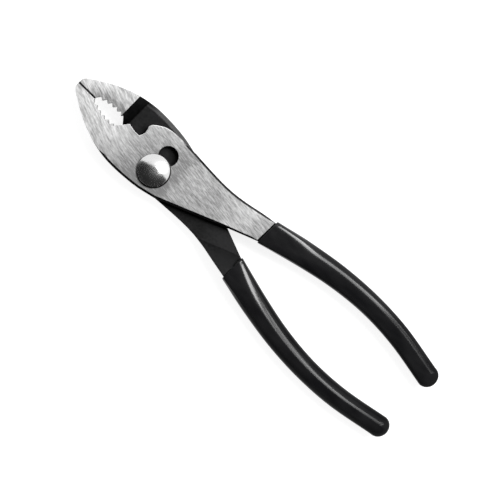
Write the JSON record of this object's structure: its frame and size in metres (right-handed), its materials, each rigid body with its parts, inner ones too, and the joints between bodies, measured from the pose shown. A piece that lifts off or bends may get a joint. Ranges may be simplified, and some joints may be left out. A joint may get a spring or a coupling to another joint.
{
  "type": "slip joint pliers",
  "caption": "Slip joint combination pliers with a toothed pipe grip, shear cutter, domed pivot bolt in a two-position slot, and bowed handles in dipped vinyl grips.",
  "frame": {"origin": "on the pivot axis, at the end face of the pivot bolt on the back of the tool, which is its lowest point as it lies on a bench", "axes": "+X along the tool from the nose to the handle ends, +Y across it towards the second hole of the slot, +Z along the pivot axis, out of the ground front face"},
  "size_m": [0.2023, 0.0494, 0.0171],
  "materials": {
    "ground_steel": "satin ground front face with fine lengthwise grinding lines, black oxide on the forged edges and the lap",
    "black_steel": "black oxide forging with satin ground jaw faces",
    "bolt_steel": "polished domed head",
    "nut_steel": "black oxide",
    "grip_vinyl": "glossy dipped vinyl"
  },
  "bodies": {
    "front_half": {"front_lever": "ground_steel", "front_grip": "grip_vinyl"},
    "pivot": {"pivot_bolt": "bolt_steel", "pivot_nut": "nut_steel"},
    "rear_half": {"rear_lever": "black_steel", "rear_grip": "grip_vinyl"}
  },
  "joints": [
    {"name": "slip", "type": "slide", "parent": "front_half", "child": "pivot", "axis": [0, 1, 0], "range_m": [0, 0.0089]},
    {"name": "jaw_hinge", "type": "hinge", "parent": "pivot", "child": "rear_half", "pos_m": [0, 0, 0.0088], "axis": [0, 0, -1], "range_deg": [0, 50]}
  ]
}
